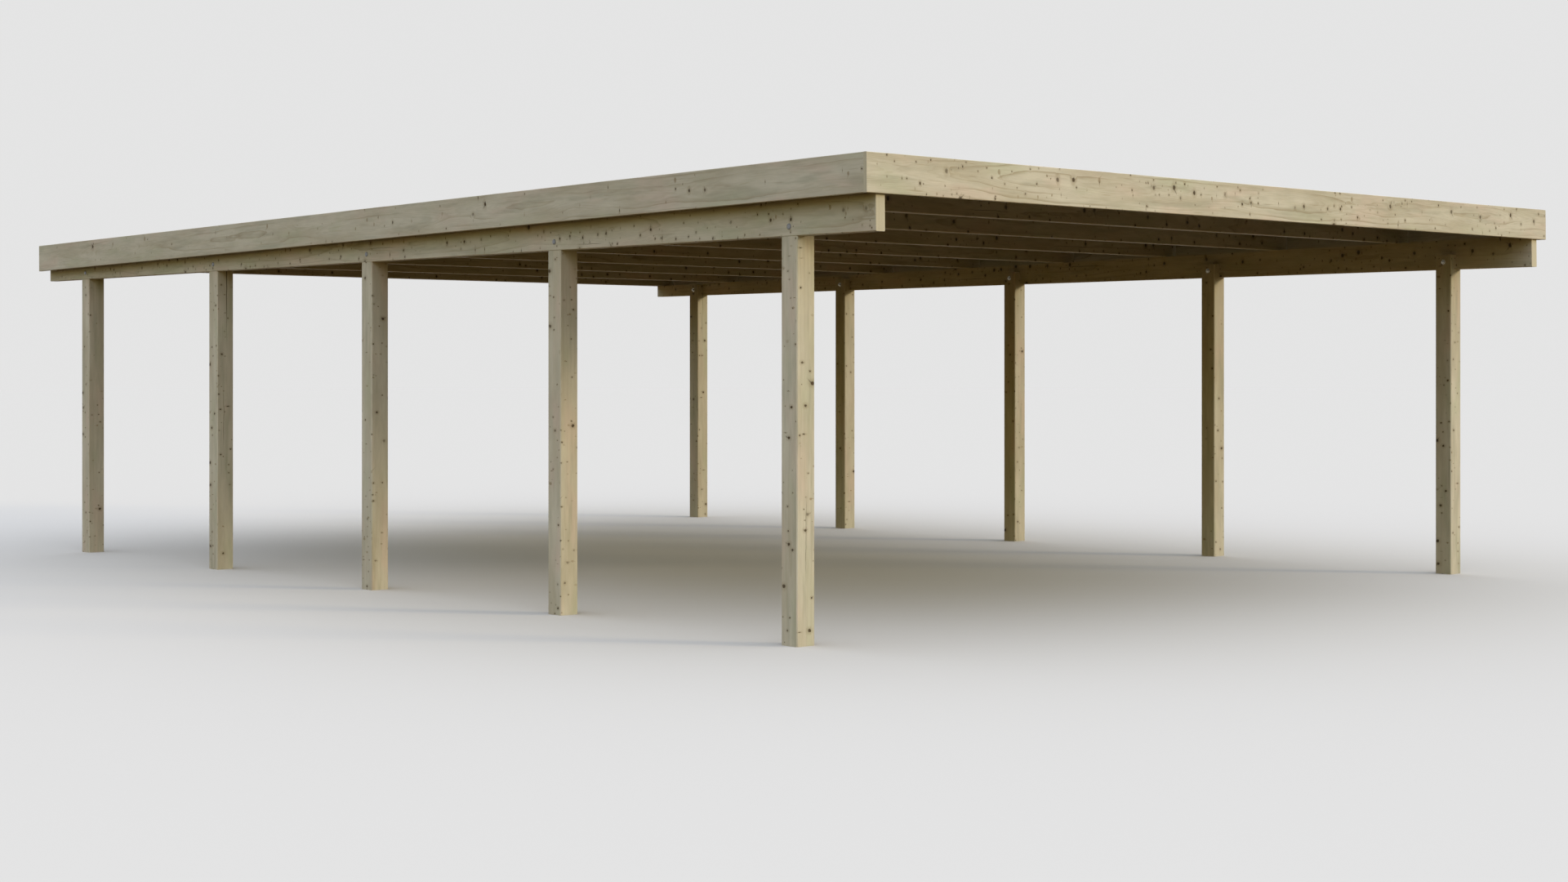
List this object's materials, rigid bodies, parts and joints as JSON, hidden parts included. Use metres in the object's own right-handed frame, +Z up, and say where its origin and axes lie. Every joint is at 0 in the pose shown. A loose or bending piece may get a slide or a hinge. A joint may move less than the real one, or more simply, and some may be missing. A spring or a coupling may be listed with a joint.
{
  "type": "timber double carport",
  "caption": "Open flat-roof timber carport: rows of square posts carry tapered side beams, cross joists, deep fascia boards and profiled roof sheets over a parking space.",
  "frame": {"origin": "on the ground, at the centre of the plan", "axes": "+Z up, +Y from the entrance to the back along the length, +X to the right seen from the entrance"},
  "size_m": [6.16, 9.2902, 2.4311],
  "materials": {
    "frame_timber": "planed spruce, untreated, with small dark knots",
    "fascia_timber": "planed spruce boards, untreated, with small dark knots",
    "roof_sheet": "coated steel, matt grey",
    "fastener": "zinc-plated steel, dull"
  },
  "bodies": {
    "root": {"post_left_1": "frame_timber", "post_left_2": "frame_timber", "post_left_3": "frame_timber", "post_left_4": "frame_timber", "post_left_5": "frame_timber", "post_right_1": "frame_timber", "post_right_2": "frame_timber", "post_right_3": "frame_timber", "post_right_4": "frame_timber", "post_right_5": "frame_timber", "left_beam": "frame_timber", "right_beam": "frame_timber", "joist_1": "frame_timber", "joist_2": "frame_timber", "joist_3": "frame_timber", "joist_4": "frame_timber", "joist_5": "frame_timber", "joist_6": "frame_timber", "joist_7": "frame_timber", "joist_8": "frame_timber", "joist_9": "frame_timber", "joist_10": "frame_timber", "front_fascia": "fascia_timber", "left_fascia": "fascia_timber", "right_fascia": "fascia_timber", "rear_board": "fascia_timber", "roof_sheet_1": "roof_sheet", "roof_sheet_2": "roof_sheet", "roof_sheet_3": "roof_sheet", "roof_sheet_4": "roof_sheet", "roof_sheet_5": "roof_sheet", "roof_sheet_6": "roof_sheet"}
  },
  "joints": []
}
